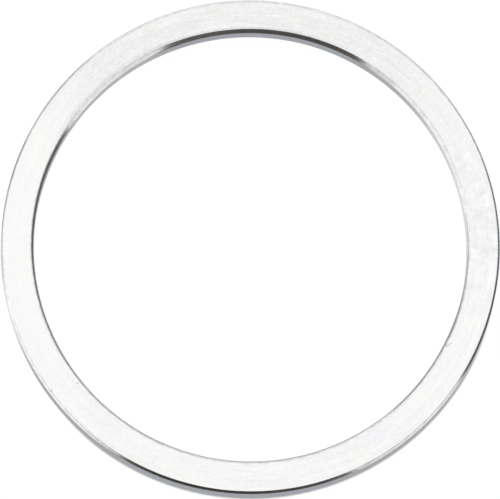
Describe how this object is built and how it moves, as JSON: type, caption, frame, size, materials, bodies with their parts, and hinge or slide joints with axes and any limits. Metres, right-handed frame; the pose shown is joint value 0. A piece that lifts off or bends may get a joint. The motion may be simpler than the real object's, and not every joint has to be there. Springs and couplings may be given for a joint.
{
  "type": "shim ring",
  "caption": "Flat steel ring, nearly square in section, that fills and sets the gap between a bearing's outer race and its shoulder.",
  "frame": {"origin": "on the ring's axis, in the plane of the face it lies on", "axes": "+Z along the ring's axis, from the face it lies on to the upper face; X and Y are alike"},
  "size_m": [0.0518, 0.0518, 0.0034],
  "materials": {
    "ground_steel": "ground bright on both faces, turned satin on the bore, rim and edge breaks, bare of any coating"
  },
  "bodies": {
    "root": {"shim_ring": "ground_steel"}
  },
  "joints": []
}
